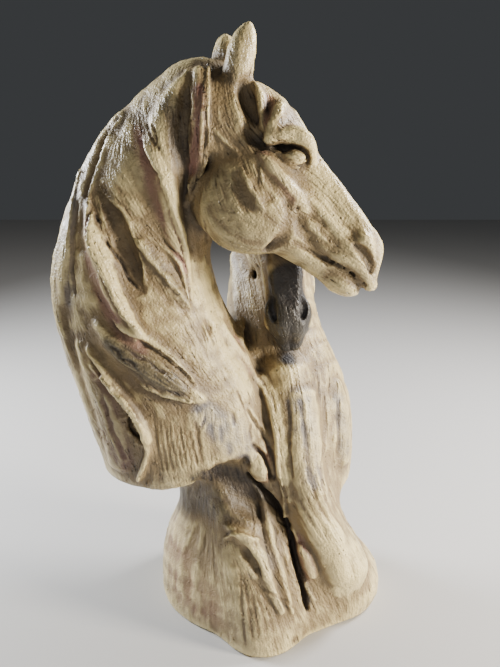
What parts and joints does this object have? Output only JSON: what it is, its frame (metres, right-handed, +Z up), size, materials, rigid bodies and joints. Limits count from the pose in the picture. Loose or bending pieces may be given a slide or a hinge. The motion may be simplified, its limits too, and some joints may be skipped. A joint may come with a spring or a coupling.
{
  "type": "double horse head statue",
  "caption": "Clay-modelled tabletop statue of horse heads and necks nuzzling, with flowing manes, a gap through at the throat and a rock-like stand in one piece",
  "frame": {"origin": "middle of the flat underside of the stand", "axes": "+Z up; +X the way the front horse faces; -Y the side from which the front horse's right side and the back horse's face are seen"},
  "size_m": [0.2573, 0.1982, 0.448],
  "materials": {
    "clay": "cast resin with a hand-rubbed cream, umber and grey-rose clay patina, semi-satin"
  },
  "bodies": {
    "root": {"double_horse_head": "clay"}
  },
  "joints": []
}
